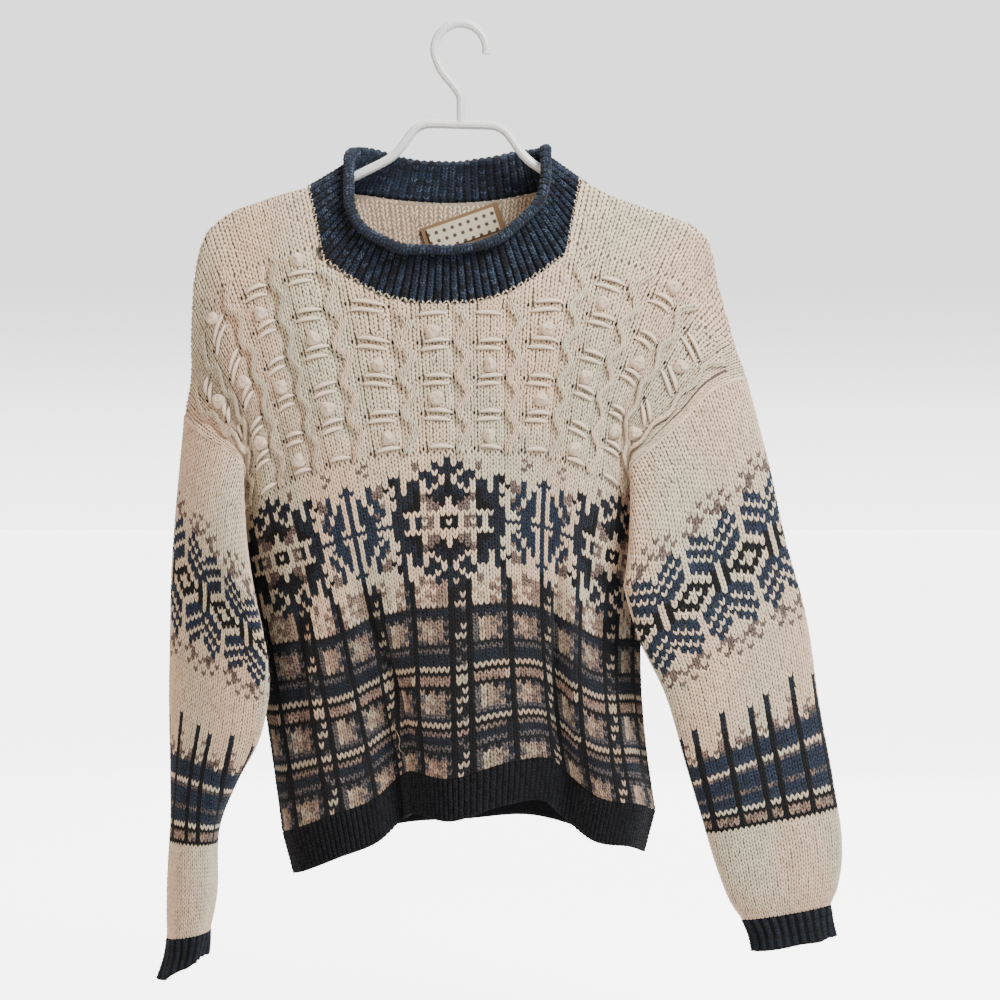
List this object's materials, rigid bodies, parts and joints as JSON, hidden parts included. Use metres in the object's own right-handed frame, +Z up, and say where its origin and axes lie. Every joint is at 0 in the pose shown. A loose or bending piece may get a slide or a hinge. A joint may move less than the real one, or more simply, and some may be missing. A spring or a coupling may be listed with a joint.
{
  "type": "fair isle sweater on a tube hanger",
  "caption": "Hand-knitted roll-neck sweater with a cabled yoke, snowflake and plaid bands and dark ribbed trims, hanging hollow on a coated tube hanger.",
  "frame": {"origin": "the inside top of the hanger's hook, where a rail carries it", "axes": "+Z up, the sweater's front towards -Y, +X towards the right of the picture (the sweater's own left sleeve)"},
  "size_m": [0.5992, 0.1033, 0.8427],
  "materials": {
    "cotton_cream": "heavy cotton knit, matt",
    "cotton_charcoal_marl": "marled cotton rib, matt",
    "cotton_navy_marl": "marled cotton rib, matt",
    "cotton_denim_marl": "marled cotton rib, matt",
    "label_tape": "woven tape",
    "label_woven": "woven label",
    "hanger_plastic": "smooth white coating"
  },
  "bodies": {
    "root": {"front": "cotton_cream", "back": "cotton_cream", "sleeve_left": "cotton_cream", "sleeve_right": "cotton_cream", "hem_front": "cotton_charcoal_marl", "hem_back": "cotton_charcoal_marl", "cuff_left": "cotton_navy_marl", "cuff_right": "cotton_navy_marl", "collar": "cotton_denim_marl", "label_backing": "label_tape", "label_face": "label_woven", "hanger": "hanger_plastic"}
  },
  "joints": []
}
